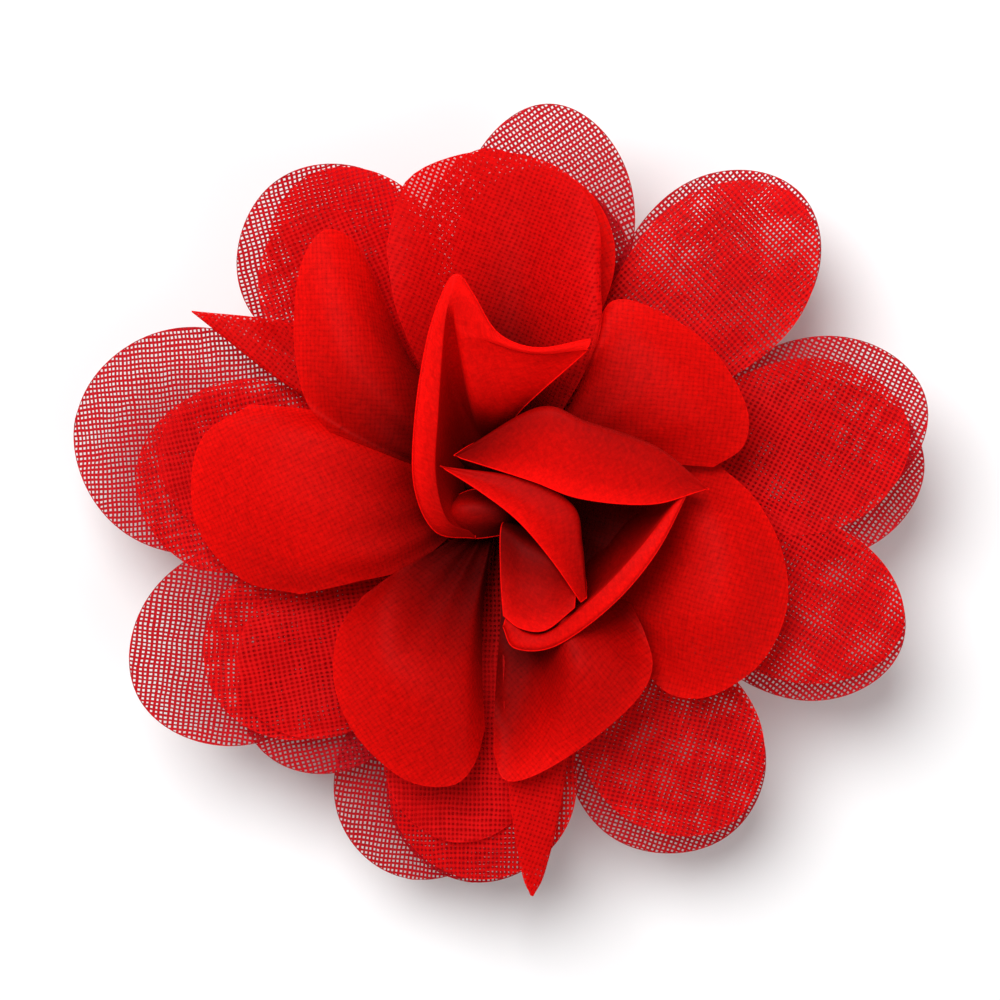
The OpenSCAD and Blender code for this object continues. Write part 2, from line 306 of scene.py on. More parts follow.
def metal(name, color, roughness, grain):
    """Plated steel: brushed along grain, with cloudy wear and fine scratches."""
    n = Nodes(name)
    place = n.object_mm()
    along = n.vector("MULTIPLY", place, grain)
    brushed = n.noise(along, 1.0, 6.0, 0.65)
    cloud = n.noise(place, 0.35, 4.0)
    specks = n.noise(place, 5.0, 6.0, 0.7)
    pits = n.span(specks, 0.68, 0.78, 0.0, 1.0)
    tone = n.times(n.vary(brushed, 0.9, 1.06), n.vary(cloud, 0.9, 1.05))
    clean = n.scaled_color((*color, 1.0), tone)
    worn = n.mix_color(n.times(pits, 0.2), clean, (0.34, 0.31, 0.28, 1.0))
    rough = n.math("ADD", n.vary(brushed, roughness - 0.06, roughness + 0.08),
                   n.times(pits, 0.2))
    height = n.math("SUBTRACT", brushed, n.times(pits, 0.6))
    rounded = n.add("ShaderNodeBevel", {"Radius": 0.1 * MM}, samples=4)
    normal = n.bump(height, 0.16, 0.05 * MM)
    n.set(normal.node.inputs["Normal"], rounded)
    return n.finish(n.shader({
        "Base Color": worn, "Metallic": 1.0, "Roughness": rough, "Normal": normal,
    }))


def floor_material():
    n = Nodes("pale_floor")
    tone = n.vary(n.noise(n.object_mm(), 0.02, 2.0), 0.985, 1.0)
    color = n.scaled_color((0.93, 0.93, 0.935, 1.0), tone)
    return n.finish(n.shader({"Base Color": color, "Roughness": 0.9, "Specular IOR Level": 0.1}))


MATERIALS = {row[0]: chiffon(*row) for row in CLOTHS}
MATERIALS.update({
    "red_felt": felt(),
    "red_thread": thread_material(),
    "hot_glue": glue(),
    "nickel_steel": metal("nickel_steel", (0.74, 0.72, 0.69), 0.26, (0.6, 9.0, 9.0)),
    "pin_steel": metal("pin_steel", (0.66, 0.65, 0.63), 0.3, (9.0, 0.6, 9.0)),
    "spring_steel": metal("spring_steel", (0.52, 0.51, 0.5), 0.28, (4.0, 4.0, 4.0)),
})
SLOTS = {row["node"]: row["material_slot"] for row in frame["record"]["subparts"]}


# ---- Mesh helpers ----

def new_object(name, data):
    obj = bpy.data.objects.new(name, data)
    bpy.context.collection.objects.link(obj)
    return obj


def make_mesh(name, points_mm, faces, slot):
    """A smooth-shaded mesh object from points in millimetres."""
    mesh = bpy.data.meshes.new(name)
    mesh.from_pydata([tuple(p) for p in np.asarray(points_mm) * MM], [], faces)
    mesh.materials.append(MATERIALS[slot])
    for polygon in mesh.polygons:
        polygon.use_smooth = True
    mesh.update()
    return new_object(name, mesh)


def add_uv(mesh, uv_of_point):
    layer = mesh.uv_layers.new(name="cut")
    for loop in mesh.loops:
        layer.data[loop.index].uv = tuple(uv_of_point[loop.vertex_index])


def attach(obj, slot, *nodes):
    """Fix a piece to the flower's body, in place of any CAD nodes named."""
    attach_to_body(obj, "flower")
    if nodes:
        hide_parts(*nodes)


def unit(v):
    return v / np.linalg.norm(v, axis=-1, keepdims=True)


# ---- Petals ----

PETAL_ROWS = 44
PETAL_COLS = 26
TIP_BUNCHING = 1.9
ROOT_START = 0.05
SPINE_PULL = 0.38
TANGENT_STEP = 0.002
PLEAT_DEPTH = 0.35
PLEATS = 3.5
SHEET_GAP = 0.13
SETTLE_PASSES = 3
SMOOTH_PASSES = 6
BEAD_SIDES = 6
BEAD_RADIUS = 0.045


class Stack:
    """The sheets laid so far, which the next one may not cut through."""

    def __init__(self):
        self.trees = []

    def top(self, x, y):
        """Height of the highest sheet under or over (x, y), or None."""
        best = None
        for tree, low, high in self.trees:
            if not (low[0] <= x <= high[0] and low[1] <= y <= high[1]):
                continue
            hit = tree.ray_cast((x, y, 100.0), (0.0, 0.0, -1.0))[0]
            if hit is not None and (best is None or hit.z > best):
                best = hit.z
        return best

    def add(self, grid, faces):
        flat = grid.reshape(-1, 3)
        tree = BVHTree.FromPolygons([tuple(p) for p in flat], faces)
        self.trees.append((tree, flat[:, :2].min(axis=0), flat[:, :2].max(axis=0)))

    def settle(self, grid):
        """Raise a grid of points smoothly until it lies clear above the stack."""
        for _ in range(SETTLE_PASSES):
            lift = np.zeros(grid.shape[:2])
            for i in range(grid.shape[0]):
                for j in range(grid.shape[1]):
                    top = self.top(grid[i, j, 0], grid[i, j, 1])
                    if top is not None:
                        lift[i, j] = max(0.0, top + SHEET_GAP - grid[i, j, 2])
            if lift.max() <= 0.0:
                break
            soft = lift.copy()
            for _ in range(SMOOTH_PASSES):
                padded = np.pad(soft, 1, mode="edge")
                around = (padded[:-2, 1:-1] + padded[2:, 1:-1] + padded[1:-1, :-2] + padded[1:-1, 2:]) / 4
                soft = np.maximum(lift, around)
            grid[:, :, 2] += soft


def grid_faces(rows, cols):
    width = cols + 1
    corners = [i * width + j for i in range(rows) for j in range(cols)]
    return [(a, a + 1, a + 1 + width, a + width) for a in corners]


def half_width_share(s, fullness):
    """Half width over the widest half width, at share s of the length: a spoon with a round end."""
    t = ROOT_START + (1 - ROOT_START) * s
    return np.sqrt(np.maximum(0.0, np.sin(math.pi * t ** fullness)))


def direction(azimuth, elevation):
    a = math.radians(azimuth)
    e = math.radians(elevation)
    return np.array([math.cos(e) * math.cos(a), math.cos(e) * math.sin(a), math.sin(e)])


def length_along(path):
    """Distance along a path to each of its points."""
    steps = np.linalg.norm(np.diff(path, axis=0), axis=1)
    return np.concatenate([[0.0], np.cumsum(steps)])


def bezier(p0, p1, p2, p3, t):
    t = t[:, None]
    return (1 - t) ** 3 * p0 + 3 * (1 - t) ** 2 * t * p1 + 3 * (1 - t) * t * t * p2 + t ** 3 * p3


def petal_grid(root, tip, width, rise, droop, sway=0.0, tip_cup=0.0, tip_roll=0.0, fullness=2.2,
               ripple=0.0, waves=2.0, phase=0.0):
    """Points of a petal and its flat-cut coordinates.

    The spine leaves the root at elevation rise and reaches the tip at elevation -droop.
    sway turns the start of the spine sideways and the end back. At the tip, the cross-section
    turns through the angle tip_cup, positive with the edges up, and is turned about the spine
    by tip_roll. ripple is the height of the waves along the edge.
    """
    root = np.array(root, float)
    tip = np.array(tip, float)
    reach = np.linalg.norm(tip - root)
    azimuth = math.degrees(math.atan2(tip[1] - root[1], tip[0] - root[0]))
    near = root + direction(azimuth + sway, rise) * reach * SPINE_PULL
    far = tip - direction(azimuth - sway, -droop) * reach * SPINE_PULL
    s = 1 - (1 - np.linspace(0, 1, PETAL_ROWS + 1)) ** TIP_BUNCHING
    spine = bezier(root, near, far, tip, s)
    ahead = bezier(root, near, far, tip, np.minimum(s + TANGENT_STEP, 1.0))
    behind = bezier(root, near, far, tip, np.maximum(s - TANGENT_STEP, 0.0))
    tangent = unit(ahead - behind)
    side = unit(np.cross(np.array([0.0, 0.0, 1.0]), tangent))
    normal = np.cross(tangent, side)
    turn = np.radians(tip_roll * s)[:, None]
    side, normal = side * np.cos(turn) + normal * np.sin(turn), normal * np.cos(turn) - side * np.sin(turn)

    half = width / 2 * half_width_share(s, fullness)
    q = np.linspace(-1, 1, PETAL_COLS + 1)
    across = half[:, None] * q[None, :]
    bend = np.radians(tip_cup * s)[:, None] / width
    flat_bend = np.where(np.abs(bend) < 1e-5, 1e-5, bend)
    out = np.sin(flat_bend * across) / flat_bend
    up = (1 - np.cos(flat_bend * across)) / flat_bend
    wave = ripple * np.sin(waves * math.pi * (q[None, :] + 0.6 * s[:, None]) + phase)
    wave = wave * np.abs(q)[None, :] ** 1.5 * np.sin(math.pi * np.minimum(s, 0.97))[:, None]
    gathers = PLEAT_DEPTH * np.cos(PLEATS * math.pi * q[None, :] + phase) * (1 - s[:, None]) ** 3
    up = up + wave + gathers
    grid = spine[:, None, :] + side[:, None, :] * out[..., None] + normal[:, None, :] * up[..., None]
    along = np.repeat(length_along(spine)[:, None], PETAL_COLS + 1, axis=1)
    flat = np.stack([across, along], axis=-1)
    return grid, flat


def free_edge(grid):
    """The points along every side of a grid but its root, which is its first row."""
    return np.concatenate([grid[:, 0], grid[-1, 1:-1], grid[::-1, -1]])


def edge_distance(flat):
    """Distance of each flat point from the cut edge."""
    edge = free_edge(flat)
    points = flat.reshape(-1, 2)
    start, end = edge[:-1], edge[1:]
    step = end - start
    long_enough = (step ** 2).sum(axis=1) > 1e-9
    start, step = start[long_enough], step[long_enough]
    along = ((points[:, None] - start[None]) * step[None]).sum(axis=-1) / (step ** 2).sum(axis=1)[None]
    nearest = start[None] + np.clip(along, 0, 1)[..., None] * step[None]
    return np.linalg.norm(points[:, None] - nearest, axis=-1).min(axis=1)


def edge_bead(grid, radius):
    """Points and faces of the thin bead that sealing leaves along the free edge."""
    path = free_edge(grid)
    keep = np.concatenate([[True], np.linalg.norm(np.diff(path, axis=0), axis=1) > 0.02])
    path = path[keep]
    tangent = unit(np.gradient(path, axis=0))
    side = unit(np.cross(tangent, np.array([0.3, 0.2, 1.0])))
    normal = np.cross(tangent, side)
    angles = np.linspace(0, math.tau, BEAD_SIDES, endpoint=False)
    ring = side[:, None] * np.cos(angles)[:, None] + normal[:, None] * np.sin(angles)[:, None]
    points = (path[:, None] + radius * ring).reshape(-1, 3)
    faces = [
        (i * BEAD_SIDES + k, i * BEAD_SIDES + (k + 1) % BEAD_SIDES,
         (i + 1) * BEAD_SIDES + (k + 1) % BEAD_SIDES, (i + 1) * BEAD_SIDES + k)
        for i in range(len(path) - 1) for k in range(BEAD_SIDES)
    ]
    faces.append(tuple(range(BEAD_SIDES)))
    faces.append(tuple(range((len(path) - 1) * BEAD_SIDES, len(path) * BEAD_SIDES)))
    return points, faces


# heights over hollow_z, and how much nearer the root they count, for the painted shade in low places
HOLLOW_DEPTH = (0.8, 3.4)
HOLLOW_SHADE = (0.55, 1.0)


def sheet_object(name, grid, flat, cloth, node, grain, bead=0.0,
                 root_start=0.0, hollow_z=None):
    """One cut piece of cloth as an object that stands for a node.

    root_start is how far its first row already is from the gathers at the root, as the painted
    root shade counts it. Above hollow_z, what lies low gets more painted shade, as if it were
    nearer the root.
    """
    rows, cols = grid.shape[0] - 1, grid.shape[1] - 1
    points = grid.reshape(-1, 3)
    faces = grid_faces(rows, cols)
    c, s = math.cos(math.radians(grain)), math.sin(math.radians(grain))
    x, y = flat[..., 0], flat[..., 1]
    cut_uv = np.stack([c * x - s * y, s * x + c * y], axis=-1).reshape(-1, 2)
    edge_mm = edge_distance(flat)
    steps = np.linalg.norm(np.diff(grid, axis=0), axis=2)
    # root_shade_mm sets the painted shade near the root; above hollow_z, low places get more of it
    root_shade_mm = root_start + np.concatenate([np.zeros((1, cols + 1)), np.cumsum(steps, axis=0)]).reshape(-1)
    if hollow_z is not None:
        root_shade_mm = root_shade_mm * np.interp(points[:, 2] - hollow_z, HOLLOW_DEPTH, HOLLOW_SHADE)
    if bead > 0.0:
        bead_points, bead_faces = edge_bead(grid, bead)
        faces = faces + [tuple(len(points) + k for k in face) for face in bead_faces]
        points = np.concatenate([points, bead_points])
        cut_uv = np.concatenate([cut_uv, bead_points[:, :2]])
        edge_mm = np.concatenate([edge_mm, np.zeros(len(bead_points))])
        root_shade_mm = np.concatenate([root_shade_mm, np.full(len(bead_points), root_shade_mm.max())])
    obj = make_mesh(name, points, faces, cloth)
    add_uv(obj.data, cut_uv)
    for key, values in (("edge_mm", edge_mm), ("root_shade_mm", root_shade_mm)):
        obj.data.attributes.new(key, "FLOAT", "POINT").data.foreach_set("value", values.astype(np.float32))
    attach(obj, SLOTS[node], node)


def polar(azimuth, reach, z):
    a = math.radians(azimuth)
    return (reach * math.cos(a), reach * math.sin(a), z)


stack = Stack()


def lay_petal(name, node, slot, rests_on, root, tip, grain, **shape):
    """A petal sheet that settles on what is laid already."""
    grid, flat = petal_grid(root, tip, **shape)
    stack.settle(grid)
    stack.add(grid, grid_faces(PETAL_ROWS, PETAL_COLS))
    sheet_object(name, grid, flat, slot, node, grain)


# ---- The two rings of lying petals ----
# Each row is a sheet: (node, azimuth in degrees, reach, width, tip height over the ring's roots, shape).
# A node with two rows has two layers of cloth. Lower sheets come first.

LIFTED = dict(rise=2, droop=-16)
ARCHED = dict(rise=15, droop=6)
DROOPING = dict(rise=10, droop=16)
OUTER_SHEETS = [
    ("outer_petal_5", 169, 32.5, 17, -0.6, dict(DROOPING, fullness=2.05, ripple=0.8, waves=1.6, phase=0.4)),
    ("outer_petal_9", 340, 31.7, 13.4, 3.4, dict(LIFTED, phase=2, tip_roll=5)),
    ("outer_petal_7", 257, 29.3, 13.8, -0.8, dict(DROOPING, ripple=0.6, phase=1, sway=-6)),
    ("outer_petal_3", 83.3, 29.5, 13.2, 4, dict(LIFTED, fullness=2, phase=0.3, sway=-9)),
    ("outer_petal_6", 209, 30.6, 14.8, 2.8, dict(ARCHED, fullness=2.15, ripple=0.8, phase=3, tip_roll=-6)),
    ("outer_petal_8", 303, 30.5, 14.6, -0.8, dict(DROOPING, ripple=0.6, phase=4.2, tip_roll=7)),
    ("outer_petal_1", 5.5, 31.8, 13.4, 1.4, dict(ARCHED, phase=5)),
    ("outer_petal_4", 125, 28.8, 14.4, 4.2, dict(LIFTED, fullness=2.5, ripple=0.7, phase=1.7, tip_roll=6)),
    ("outer_petal_2", 46.4, 32.2, 13.5, 0.2, dict(DROOPING, fullness=2.3, phase=2.6, tip_roll=-7)),
    ("outer_petal_7", 266, 28.7, 14, 0.6, dict(DROOPING, fullness=2.3, ripple=0.6, phase=2.2)),
    ("outer_petal_1", 13, 32.4, 13.4, 3.8, dict(LIFTED, phase=0.9, tip_roll=-4)),
    ("outer_petal_6", 227, 25.7, 12.5, 2.6, dict(ARCHED, phase=1.4)),
    ("outer_petal_3", 79, 24.2, 12.6, 2.4, dict(fullness=2.2, ripple=0.4, phase=5.1)),
]
INNER_SHEETS = [
    ("inner_petal_5", 176, 27.2, 13.6, 0.4, dict(ARCHED, fullness=2.4, ripple=0.8, phase=0.8)),
    ("inner_petal_9", 341.5, 31.3, 12.2, 2.4, dict(ripple=0.5, phase=1.9, tip_roll=5)),
    ("inner_petal_7", 266.5, 28.3, 14, 0.2, dict(DROOPING, ripple=0.7, phase=2.9)),
    ("inner_petal_3", 92, 26, 10, 2.6, dict(fullness=2.2, ripple=0.3, phase=0.2)),
    ("inner_petal_6", 216, 25.6, 13.2, 2.4, dict(fullness=2.4, ripple=0.7, phase=4.1)),
    ("inner_petal_8", 305.5, 29.6, 13.2, 0.2, dict(ARCHED, fullness=2.35, phase=5.3, tip_roll=7)),
    ("inner_petal_1", 10, 30.6, 13, 3.4, dict(LIFTED, fullness=2.35, phase=3.3)),
    ("inner_petal_4", 121, 27.7, 12.6, 4, dict(LIFTED, fullness=2.4, phase=2.4)),
    ("inner_petal_2", 45.2, 31.4, 12.9, 1.8, dict(ripple=0.5, phase=1.1, tip_roll=-7)),
    ("inner_petal_5", 171, 25.6, 12, 1.8, dict(phase=3.1)),
    ("inner_petal_7", 262, 25.6, 12, 1.6, dict(phase=0.5)),
    ("inner_petal_6", 221, 24, 11.8, 3, dict(phase=1.6)),
    ("inner_petal_4", 128, 25.8, 11.4, 3.6, dict(fullness=2.4, ripple=0.5, phase=0)),
]
ROOT_R = 2.2
GRAIN_STEP = 37.0
LAYER_GRAIN = 3.0


def lay_ring(sheets, slot, root_z, rests_on, ring_grain, defaults):
    """Lay a ring's sheets; those of one petal have nearly the same grain, so that holes line up."""
    layers = {}
    for node, azimuth, reach, width, tip_height, shape in sheets:
        layers[node] = layers.get(node, 0) + 1
        number = int(node.rsplit("_", 1)[1])
        grain = ring_grain + GRAIN_STEP * number + LAYER_GRAIN * layers[node]
        lay_petal(
            f"{node}_sheet_{layers[node]}", node, slot, rests_on,
            polar(azimuth, ROOT_R, root_z), polar(azimuth, reach, root_z + tip_height),
            grain, width=width, **{**defaults, **shape},
        )


lay_ring(OUTER_SHEETS, "chiffon_outer", back_z, "felt_backing", 8.0,
         dict(rise=6, droop=-4, tip_cup=14, fullness=2.4, ripple=0.5))
lay_ring(INNER_SHEETS, "chiffon_inner", inner_z, "outer_petal_1", 12.0,
         dict(rise=8, droop=-2, tip_cup=10, fullness=2.3, ripple=0.6))


# ---- Folded petals and petals drawn through rails ----

def curve_through(points, count):
    """count points along a smooth curve through the given ones, at even parameters."""
    points = np.asarray(points, float)
    ends = np.concatenate([[2 * points[0] - points[1]], points, [2 * points[-1] - points[-2]]])
    u = np.linspace(0, len(points) - 1, count)
    k = np.minimum(u.astype(int), len(points) - 2)
    t = (u - k)[:, None]
    a, b, c, d = ends[k], ends[k + 1], ends[k + 2], ends[k + 3]
    square = (2 * a - 5 * b + 4 * c - d) * t ** 2
    cube = (3 * b - a - 3 * c + d) * t ** 3
    return 0.5 * (2 * b + (c - a) * t + square + cube)


def loft(rails, rows, cols):
    """Points of a surface drawn through rails: rows across them and cols along them."""
    along = np.array([curve_through(rail, cols + 1) for rail in rails])
    return np.array([curve_through(along[:, j], rows + 1) for j in range(cols + 1)]).transpose(1, 0, 2)


def unrolled(grid):
    """A first guess at a grid laid flat: lengths along its rows, and mean steps between them."""
    steps = np.linalg.norm(np.diff(grid, axis=1), axis=2)
    x = np.concatenate([np.zeros((grid.shape[0], 1)), np.cumsum(steps, axis=1)], axis=1)
    x -= x[:, -1:] / 2
    rise = np.linalg.norm(np.diff(grid, axis=0), axis=2).mean(axis=1)
    y = np.concatenate([[0.0], np.cumsum(rise)])
    return np.stack([x, np.repeat(y[:, None], grid.shape[1], axis=1)], axis=-1)


FLATTEN_PASSES = 500
FLATTEN_STEP = 1.4


def flatten(grid, guess):
    """The grid laid flat, with every short length on it as near as it gets to its true one."""
    flat = np.array(guess, float)
    whole = slice(None)
    first, last = slice(None, -1), slice(1, None)
    pairs = [
        ((first, whole), (last, whole)), ((whole, first), (whole, last)),
        ((first, first), (last, last)), ((first, last), (last, first)),
    ]
    lengths = [np.linalg.norm(grid[b] - grid[a], axis=-1) for a, b in pairs]
    for _ in range(FLATTEN_PASSES):
        move = np.zeros_like(flat)
        count = np.zeros(flat.shape[:2])
        for (a, b), length in zip(pairs, lengths):
            step = flat[b] - flat[a]
            now = np.linalg.norm(step, axis=-1)
            push = step * (0.5 * (now - length) / np.maximum(now, 1e-6))[..., None]
            move[a] += push
            move[b] -= push
            count[a] += 1
            count[b] += 1
        flat += FLATTEN_STEP * move / count[..., None]
    return flat


def gather(grid):
    """Small pleats near the root of a petal whose rows run from root to rim."""
    share = np.linspace(0, 1, grid.shape[0])[:, None]
    across = np.linspace(-1, 1, grid.shape[1])[None, :]
    grid[..., 2] += PLEAT_DEPTH * np.cos(PLEATS * math.pi * across) * (1 - share) ** 3


def raised(rails, foot_z):
    """Rails of (x, y, height over foot_z), as places in the frame."""
    return [[(x, y, foot_z + z) for x, y, z in rail] for rail in rails]


# Each folded petal runs from the upper layer's edge round the fold to the lower layer's edge
LEFT_FOLD = [
    [(-3.5, 3.6, 2), (-10, 10.6, 3.4), (-16, 13.1, 3), (-22.8, 14, 2.2)],
    [(-3.5, 1.5, 2.2), (-10, 5.8, 3.8), (-16, 9.1, 3.3), (-22.8, 13.9, 2.2)],
    [(-3.5, 1.5, 1.6), (-10, 5.8, 3), (-16, 9.1, 2.7), (-22.8, 13.9, 2)],
    [(-3.5, 3.4, 1.2), (-10, 10, 2.4), (-16, 12.7, 2.2), (-22.7, 13.9, 1.9)],
]
BOTTOM_FOLD = [
    [(0.3, -3.5, 2), (0.2, -12, 3.4), (0.6, -21, 2.8), (1.55, -27.3, 2), (2.25, -29.3, 1.6)],
    [(2.3, -3.5, 2.2), (4.6, -12, 3.8), (4.3, -21, 3.1), (3.2, -27.3, 2.2), (2.45, -29.35, 1.7)],
    [(2.3, -3.5, 1.6), (4.6, -12, 3), (4.3, -21, 2.5), (3.2, -27.3, 1.8), (2.45, -29.35, 1.5)],
    [(0.4, -3.5, 1.2), (0.4, -12, 2.4), (0.8, -21, 2), (1.65, -27.3, 1.6), (2.3, -29.25, 1.4)],
]
FOLD_ROWS = 18
FOLD_COLS = 60
for name, node, rails in (
    ("folded_petal_left", "folded_petal_1", LEFT_FOLD),
    ("folded_petal_bottom", "folded_petal_2", BOTTOM_FOLD),
):
    grid = loft(raised(rails, inner_z), FOLD_ROWS, FOLD_COLS)
    flat = flatten(grid, unrolled(grid)).transpose(1, 0, 2)
    grid = grid.transpose(1, 0, 2)
    stack.settle(grid)
    stack.add(grid, grid_faces(FOLD_COLS, FOLD_ROWS))
    sheet_object(name, grid, flat, "chiffon_top", node, 8.0)


# ---- Middle petals ----
# Each row is (node, cloth, how much further out its painted root shade reaches, ribs). A petal is drawn
# through ribs that fan out from its root to its rim, from one side to the other, as (x, y,
# height over the middle petals' roots).

MIDDLE_PETALS = [
    ("middle_petal_2", "chiffon_top", 0, [
        [(-1.6, 2.2, 0.6), (-4.6, 7.4, 3.6), (-7.4, 13.4, 5.4), (-8.3, 18.4, 4.8)],
        [(-1, 2.3, 0.6), (-3.4, 8.6, 3.4), (-5.6, 16, 4.8), (-6.9, 23.2, 4.2)],
        [(-0.5, 2.4, 0.5), (-1.4, 9, 2.2), (-2.4, 17, 3.2), (-2.8, 25.3, 3.4)],
        [(0, 2.4, 0.4), (0.6, 8.8, 1.2), (1, 16, 2.2), (1.4, 25.3, 3.4)],
        [(0.6, 2.4, 0.5), (2.8, 8.6, 2.4), (4.2, 15.4, 4.2), (5, 23.7, 4.4)],
        [(1, 2.3, 0.6), (4.4, 8.2, 4), (6.4, 14.2, 5.6), (7.1, 20.4, 5)],
        [(1.4, 2.2, 0.6), (5.2, 7.6, 4.2), (7.2, 12, 5.6), (7.35, 16.2, 5.2)],
    ]),
    ("middle_petal_4", "chiffon_middle", -1.8, [
        [(-1.9, 1.4, 0.5), (-7.6, 4.2, 3.4), (-13, 6.4, 4.4), (-18.2, 7, 3.6)],
        [(-2.1, 1, 0.6), (-8.6, 3.4, 5.2), (-15, 5.2, 6.2), (-21.6, 4.8, 3.6)],
        [(-2.2, 0.4, 0.6), (-9, 0.8, 5.6), (-15.8, 1.6, 6.4), (-22.6, 1.2, 3.2)],
        [(-2.2, -0.2, 0.6), (-8.8, -1.8, 5.4), (-15.4, -2.2, 6), (-21.9, -2.6, 2.8)],
        [(-2.1, -0.7, 0.6), (-8, -3.8, 4.8), (-13.8, -4.8, 5.2), (-18.8, -5.9, 2.8)],
        [(-1.9, -1.1, 0.5), (-6.4, -4.8, 3.4), (-10.6, -6, 4), (-14.6, -6.9, 3)],
    ]),
    ("middle_petal_7", "chiffon_middle", 1.5, [
        [(2.2, 0.9, 0.5), (8.2, 2.8, 1.6), (12.8, 3.2, 2), (16, 2.6, 2.4)],
        [(2.2, 0.7, 0.5), (8.8, 0.8, 2.2), (14.4, 0.8, 4.2), (18.6, 0.2, 3.2)],
        [(2.3, 0.4, 0.6), (9.2, -0.8, 2.4), (15.8, -2, 5.6), (20.6, -3.6, 3.3)],
        [(2.2, -0.2, 0.6), (9.2, -2.8, 2.4), (16, -5.4, 6.2), (21, -7.8, 3.4)],
        [(2.1, -0.7, 0.6), (8.8, -4.6, 2.6), (15, -8.4, 6), (19.2, -11.8, 3.4)],
        [(1.9, -1.2, 0.6), (7.6, -5.6, 2.4), (12.4, -10, 4.4), (15.6, -14.3, 3)],
        [(1.8, -1.4, 0.5), (6.8, -5.8, 1.8), (10.8, -10, 2.8), (12.6, -14.3, 2.7)],
        [(1.7, -1.6, 0.5), (6.2, -5.8, 1.4), (9.4, -9.2, 2), (10.6, -12.6, 2.4)],
    ]),
    ("middle_petal_5", "chiffon_middle", 1.5, [
        [(-1.6, -1.8, 0.5), (-5, -3.8, 2.4), (-7.8, -5.4, 3.8), (-10, -7, 3.4)],
        [(-1.5, -1.9, 0.6), (-5.4, -5, 3.4), (-8.6, -7.4, 5.4), (-11.8, -9.6, 3.8)],
        [(-1.3, -2.1, 0.6), (-5.2, -6.8, 4.2), (-8.4, -10.6, 6.8), (-12.1, -13.4, 4.1)],
        [(-1.2, -2.2, 0.6), (-4.6, -7.8, 4.6), (-7.4, -12.6, 7.2), (-10.5, -17.2, 4.2)],
        [(-1, -2.3, 0.6), (-3.6, -8.2, 4.6), (-5.2, -14, 7), (-7, -20.4, 3.8)],
        [(-0.7, -2.4, 0.6), (-2.1, -8.2, 4.2), (-2.9, -14.2, 6.2), (-3.6, -20.9, 3.4)],
        [(-0.5, -2.4, 0.5), (-1.5, -8, 3.4), (-1.9, -14, 5), (-1.9, -19.4, 3)],
        [(-0.4, -2.4, 0.5), (-1.2, -7.6, 2), (-1.3, -12.6, 2.8), (-1.1, -16.8, 2.4)],
    ]),
    ("middle_petal_1", "chiffon_middle", 0, [
        [(2, 2.6, 0.5), (4.4, 5.8, 2.4), (6, 8.8, 4.2), (6.9, 12.4, 4.4)],
        [(2.1, 2.4, 0.6), (5.2, 6.4, 3.6), (7.2, 10.2, 5.4), (8.2, 14.5, 4.8)],
        [(2.2, 2.2, 0.6), (6.4, 6.8, 4.8), (9.2, 11, 6.2), (11, 14, 5)],
        [(2.4, 1.9, 0.6), (7.6, 6, 5.4), (12, 9.2, 6.6), (15.2, 11.3, 4.8)],
        [(2.6, 1.5, 0.6), (8.4, 4.6, 5.2), (13.6, 6.2, 6.4), (17.9, 7, 4.4)],
        [(2.7, 1.3, 0.5), (8.6, 3.6, 4.6), (13.6, 4.2, 5.4), (17.8, 4, 4)],
        [(2.8, 1.2, 0.5), (8.4, 2.8, 4), (12.6, 2.6, 4.6), (15.6, 2.4, 3.8)],
    ]),
    ("middle_petal_6", "chiffon_middle", 1.8, [
        [(0.4, -2.4, 0.5), (0.1, -8, 0.4), (-0.3, -13.4, 0.6), (-0.5, -18.4, 2.2)],
        [(0.5, -2.4, 0.5), (1.4, -8.2, 0.6), (1.1, -14, 0.9), (0.3, -20.5, 2.7)],
        [(0.8, -2.4, 0.6), (3, -8.4, 1.8), (3, -14.2, 3), (2.6, -20.1, 3.6)],
        [(1.2, -2.3, 0.6), (3.8, -7.6, 5.2), (5.2, -12.8, 6.8), (6.4, -17.7, 4.6)],
        [(1.6, -2.2, 0.6), (5, -7, 4.2), (7.8, -11.2, 6.4), (9.9, -14.6, 4.8)],
        [(1.9, -2.1, 0.6), (5.2, -6.2, 2.6), (8.3, -9.5, 4.8), (11.1, -12.2, 4.6)],
        [(2, -2, 0.5), (5.2, -5.6, 1.4), (8.1, -7.9, 3), (10.6, -9.8, 3.9)],
        [(2.1, -1.9, 0.5), (5, -5.2, 1), (7.6, -6.9, 2.2), (9.6, -7.6, 3.2)],
    ]),
    ("middle_petal_3", "chiffon_middle", 3, [
        [(-1.4, 1.6, 0.6), (-5.6, 2.4, 3.4), (-9.4, 3.8, 4.4), (-12.4, 5, 4)],
        [(-1.4, 1.6, 0.6), (-6, 3, 4.4), (-10.6, 5.2, 5.8), (-14.3, 7.6, 4.5)],
        [(-1.3, 1.7, 0.6), (-6.4, 4.2, 5.2), (-11, 7.6, 6.8), (-15, 12, 4.9)],
        [(-1.1, 1.8, 0.6), (-6.2, 5.4, 5.8), (-10.8, 10.4, 7.2), (-14.5, 17, 5.2)],
        [(-1, 1.9, 0.6), (-5, 6.2, 5), (-9.2, 11.8, 6.4), (-12.8, 19.6, 5.2)],
        [(-0.9, 2, 0.6), (-4.2, 6.6, 3.2), (-7.8, 11.8, 4.2), (-10.6, 18.8, 4.5)],
        [(-0.8, 2.1, 0.5), (-3.6, 6.6, 1.6), (-6.6, 10.4, 2.2), (-8.8, 15.4, 3.2)],
    ]),
]
RIB_ROWS = 30
RIB_COLS = 48
NECK_ROWS = 6
NECK_MM = 4.2
NECK_SHARE = 0.58
NECK_POWER = 0.6
NECK_CLEAR = 0.3


